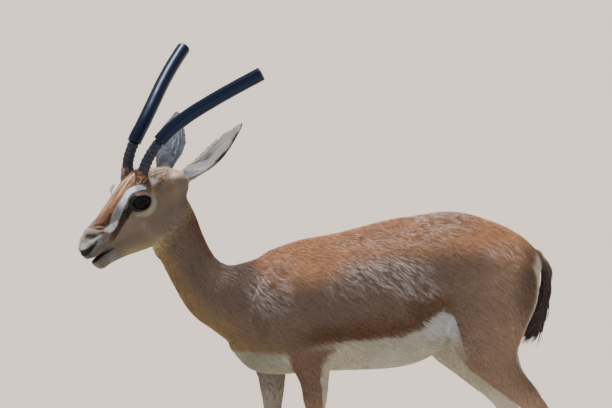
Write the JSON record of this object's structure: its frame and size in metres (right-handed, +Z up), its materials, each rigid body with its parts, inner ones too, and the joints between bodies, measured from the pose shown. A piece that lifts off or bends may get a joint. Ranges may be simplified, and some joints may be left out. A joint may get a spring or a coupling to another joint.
{
  "type": "gazelle",
  "caption": "Life-size standing gazelle with its head turned to its left, ringed horns that wear rubber hose sleeves, cupped ears and a tufted tail; a still museum model.",
  "frame": {"origin": "on the ground under the middle of the model's bounding box", "axes": "+Z up; the animal faces -X; its left side, which the picture shows, is towards -Y"},
  "size_m": [0.8768, 0.256, 0.9518],
  "materials": {
    "coat": "short tan fur over foam flesh, white below",
    "ear_fur": "short grey-white fur",
    "tail_hair": "coarse dark hair",
    "eye": "wet gloss",
    "horn": "satin horn, ringed",
    "hose": "satin black hose"
  },
  "bodies": {
    "root": {"torso": "coat", "neck": "coat", "head": "coat", "leg_front_left": "coat", "leg_front_right": "coat", "leg_hind_left": "coat", "leg_hind_right": "coat", "ear_left": "ear_fur", "ear_right": "ear_fur", "eye_left": "eye", "eye_right": "eye", "horn_left": "horn", "horn_right": "horn", "horn_sleeve_left": "hose", "horn_sleeve_right": "hose", "hoof_front_left_inner": "horn", "hoof_front_left_outer": "horn", "hoof_front_right_inner": "horn", "hoof_front_right_outer": "horn", "hoof_hind_left_inner": "horn", "hoof_hind_left_outer": "horn", "hoof_hind_right_inner": "horn", "hoof_hind_right_outer": "horn", "tail": "tail_hair"}
  },
  "joints": []
}
